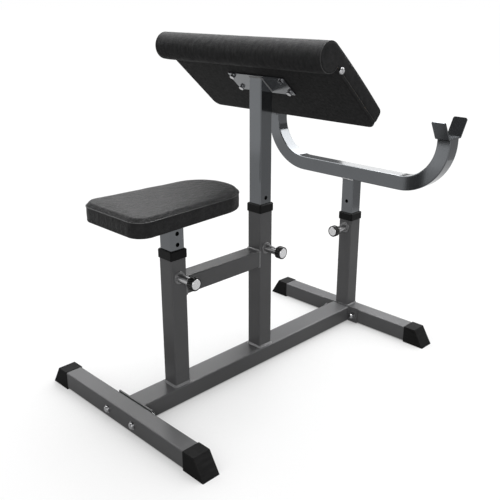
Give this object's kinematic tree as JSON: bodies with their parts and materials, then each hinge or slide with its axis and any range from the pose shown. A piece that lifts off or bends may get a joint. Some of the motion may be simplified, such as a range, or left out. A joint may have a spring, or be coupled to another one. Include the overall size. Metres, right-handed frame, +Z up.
{
  "type": "preacher curl bench",
  "caption": "Preacher curl bench: a steel frame on capped feet with a padded seat, a sloping arm pad and a U-shaped bar rest, each sliding in its post and locked by a sprung pull pin.",
  "frame": {"origin": "on the floor, at the middle of the overall box", "axes": "+X along the beam from the seat to the bar rest, +Y to the left of a seated user, +Z up"},
  "size_m": [1.0266, 0.7124, 0.9652],
  "materials": {
    "frame_paint": "satin charcoal powder coat",
    "weld_paint": "powder coat over weld beads",
    "slide_paint": "smooth satin grey powder coat",
    "plate_paint": "satin grey powder coat",
    "hook_paint": "satin dark grey powder coat",
    "cap_plastic": "moulded, fine grain",
    "collar_plastic": "moulded, satin",
    "fastener_chrome": "bright plated",
    "barrel_chrome": "plated, turned",
    "pin_steel": "ground",
    "knob_plastic": "moulded, fluted",
    "badge_metal": "plain spun disc",
    "cushion_vinyl": "grained black vinyl over foam",
    "back_vinyl": "plain black vinyl, stretched",
    "board_wood": "plywood, covered"
  },
  "bodies": {
    "frame": {"main_beam": "frame_paint", "front_flange_plate": "frame_paint", "rear_flange_plate": "frame_paint", "front_crossbar": "frame_paint", "rear_crossbar": "frame_paint", "seat_post": "frame_paint", "arm_post": "frame_paint", "rest_post": "frame_paint", "tie_tube": "frame_paint", "frame_welds": "weld_paint", "foot_cap_front_left": "cap_plastic", "foot_cap_front_right": "cap_plastic", "foot_cap_rear_left": "cap_plastic", "foot_cap_rear_right": "cap_plastic", "seat_collar": "collar_plastic", "arm_collar": "collar_plastic", "rest_collar": "collar_plastic", "crossbar_bolts": "fastener_chrome", "crossbar_washers": "fastener_chrome", "crossbar_nuts": "fastener_chrome", "seat_pin_barrel": "barrel_chrome", "arm_pin_barrel": "barrel_chrome", "rest_pin_barrel": "barrel_chrome", "seat_pin_spring": "pin_steel", "arm_pin_spring": "pin_steel", "rest_pin_spring": "pin_steel"},
    "seat": {"seat_tube": "slide_paint", "seat_plate": "plate_paint", "seat_weld": "weld_paint", "seat_board": "board_wood", "seat_cushion": "cushion_vinyl", "seat_screws": "fastener_chrome"},
    "arm_rest": {"arm_tube": "slide_paint", "arm_plate": "plate_paint", "arm_weld": "weld_paint", "arm_board": "board_wood", "arm_back_cover": "back_vinyl", "arm_cushion": "cushion_vinyl", "arm_bolts": "fastener_chrome", "arm_washers": "fastener_chrome", "arm_side_bolts": "fastener_chrome"},
    "bar_rest": {"rest_tube": "slide_paint", "yoke": "slide_paint", "rest_weld": "weld_paint", "left_hook": "hook_paint", "right_hook": "hook_paint"},
    "seat_pin": {"seat_pin_plunger": "pin_steel", "seat_pin_knob": "knob_plastic", "seat_pin_badge": "badge_metal"},
    "arm_pin": {"arm_pin_plunger": "pin_steel", "arm_pin_knob": "knob_plastic", "arm_pin_badge": "badge_metal"},
    "rest_pin": {"rest_pin_plunger": "pin_steel", "rest_pin_knob": "knob_plastic", "rest_pin_badge": "badge_metal"}
  },
  "joints": [
    {"name": "seat_height", "type": "slide", "parent": "frame", "child": "seat", "axis": [0, 0, 1], "range_m": [-0.06, 0.12]},
    {"name": "arm_pad_height", "type": "slide", "parent": "frame", "child": "arm_rest", "axis": [0, 0, 1], "range_m": [-0.15, 0.03]},
    {"name": "bar_rest_height", "type": "slide", "parent": "frame", "child": "bar_rest", "axis": [0, 0, 1], "range_m": [-0.03, 0.15]},
    {"name": "seat_pin_pull", "type": "slide", "parent": "frame", "child": "seat_pin", "axis": [0, -1, 0], "range_m": [0, 0.013], "stiffness_N_per_m": 2000, "springref_m": -0.01, "deforming": ["seat_pin_spring"]},
    {"name": "arm_pin_pull", "type": "slide", "parent": "frame", "child": "arm_pin", "axis": [0, -1, 0], "range_m": [0, 0.013], "stiffness_N_per_m": 2000, "springref_m": -0.01, "deforming": ["arm_pin_spring"]},
    {"name": "rest_pin_pull", "type": "slide", "parent": "frame", "child": "rest_pin", "axis": [-1, 0, 0], "range_m": [0, 0.013], "stiffness_N_per_m": 2000, "springref_m": -0.01, "deforming": ["rest_pin_spring"]}
  ]
}
